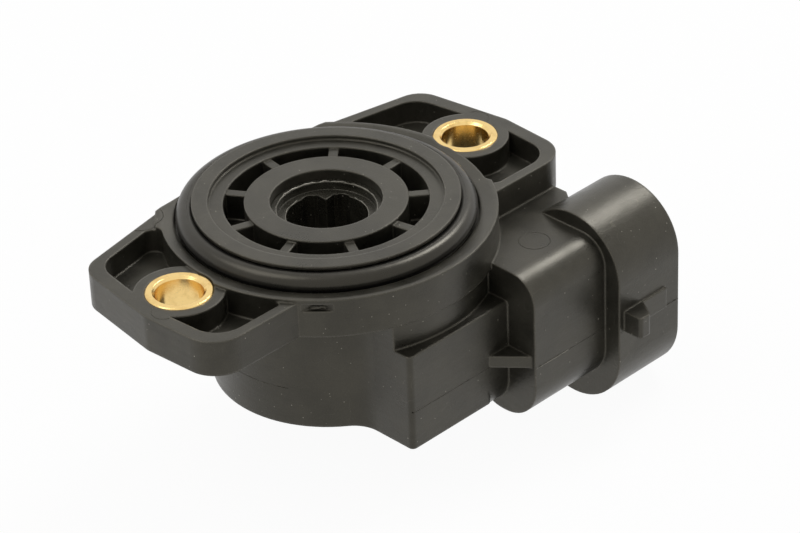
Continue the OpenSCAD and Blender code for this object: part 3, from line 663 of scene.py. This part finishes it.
def back_ring(name, radius, wide, high, ragged, seed):
    """A ridge round the shaft axis that stands out of the cover, towards -Z."""
    steps = 150
    rings = []
    for i in range(steps):
        a = 2 * math.pi * i / steps
        c, s = math.cos(a), math.sin(a)
        rise = high * max(0.2, 1 + ragged * noise.noise(Vector((3 * c, 3 * s, seed))))
        section = [(radius - wide, FINE_SUNK), (radius - wide * 0.6, -rise * 0.8), (radius, -rise),
                   (radius + wide * 0.6, -rise * 0.8), (radius + wide, FINE_SUNK)]
        rings.append([(r * c, r * s, CAN_BACK_Z + h) for r, h in section])
    return piece(name, *swept(rings, True), cover_black, "housing", "cover_plastic")


back_details = [
    back_ring("cover_stiffening_ring", 9.6, 0.5, 0.22, 0.0, 0),
    back_ring("cover_centre_mark", 1.1, 0.12, 0.05, 0.5, 4.0),
    back_ring("pivot_boss_ring", 4.4, 0.35, 0.16, 0.0, 0),
]
print("details on the back:", len(back_details))

# %% [markdown]
# The floor and the light
#
# The photograph's background is white on all sides, with no hard shadow. A black object shows
# little but reflections, so what it mirrors is its real lighting. The floor is matte paper that
# keeps a faint shadow, and a Light Path switch lifts it to white for the camera and in mirrors.

# %% Roll out the floor
def white_switch(bench):
    """1 for rays from the camera or out of a mirror or glass, and 0 for the rest."""
    light_path = bench.tree.nodes.new("ShaderNodeLightPath")
    kinds = [Wire(bench, light_path.outputs[n]) for n in ("Is Camera Ray", "Is Glossy Ray",
                                                          "Is Transmission Ray")]
    return kinds[0].most(kinds[1]).most(kinds[2])


floor_z = cad_box[0].z - 0.0001
floor_mesh = bpy.data.meshes.new("floor")
floor_mesh.from_pydata([(-4, -4, floor_z), (4, -4, floor_z), (4, 4, floor_z), (-4, 4, floor_z)],
                       [], [(0, 1, 2, 3)])
floor = bpy.data.objects.new("floor", floor_mesh)
bpy.context.scene.collection.objects.link(floor)
paper = new_material("white_paper")
paper.finish(Base_Color=(0.85, 0.85, 0.85, 1), Roughness=0.9, Specular_IOR_Level=0.1)
matte = paper.tree.nodes["Principled BSDF"]
glow = paper.node("Emission", None, {"Color": (1, 1, 1, 1), "Strength": 1.0})
lifted = paper.node("MixShader", None, {0: white_switch(paper) * 0.95,
                                        1: Wire(paper, matte.outputs[0]), 2: glow})
paper.plug(paper.tree.nodes["Material Output"].inputs["Surface"], lifted)
floor_mesh.materials.append(paper.owner)
print("floor at", round(floor_z / MM, 2), "mm")

# %% [markdown]
# The light tent
#
# The world stands for the tent's walls: plain white to the camera and in reflections, and
# weaker as a lamp, so that colours stay as written. The bright streaks on the socket's round
# tops in the photograph point to one lamp on the right ear's side, about fifty degrees up, and
# that is where the small key lamp hangs. A larger and weaker lamp hangs on the other side.

# %% Hang the lamps
tent = Bench(bpy.data.worlds.new("light_tent"))
bpy.context.scene.world = tent.owner
lamp_light = tent.node("Background", None, {"Color": (1.0, 0.99, 0.97, 1), "Strength": 0.5})
white_view = tent.node("Background", None, {"Color": (1.0, 0.99, 0.97, 1), "Strength": 1.0})
mixed = tent.node("MixShader", None, {0: white_switch(tent), 1: lamp_light, 2: white_view})
tent.plug(tent.tree.nodes["World Output"].inputs["Surface"], mixed)


def soft_lamp(name, place, aim, size, power):
    """A square lamp at a place in metres, turned towards an aim."""
    light = bpy.data.lights.new(name, "AREA")
    light.shape = "SQUARE"
    light.size = size
    light.energy = power
    lamp = bpy.data.objects.new(name, light)
    lamp.location = place
    lamp.rotation_euler = (Vector(aim) - Vector(place)).to_track_quat("-Z", "Y").to_euler()
    bpy.context.scene.collection.objects.link(lamp)
    return lamp


lamps = [soft_lamp("key_lamp", (0.44, 0.05, 0.54), (0, 0, 0), 0.24, 1.9),
         soft_lamp("top_lamp", (-0.25, 0.2, 0.6), (0, 0, 0), 0.4, 1.2)]
print("lamps:", [lamp.name for lamp in lamps])

# %% [markdown] The last setting The picture uses the plain view transform.
# The dressed part has to stay inside the box of the solid parts.

# %% Set the view transform
bpy.context.scene.view_settings.view_transform = "Standard"
bpy.context.view_layer.update()
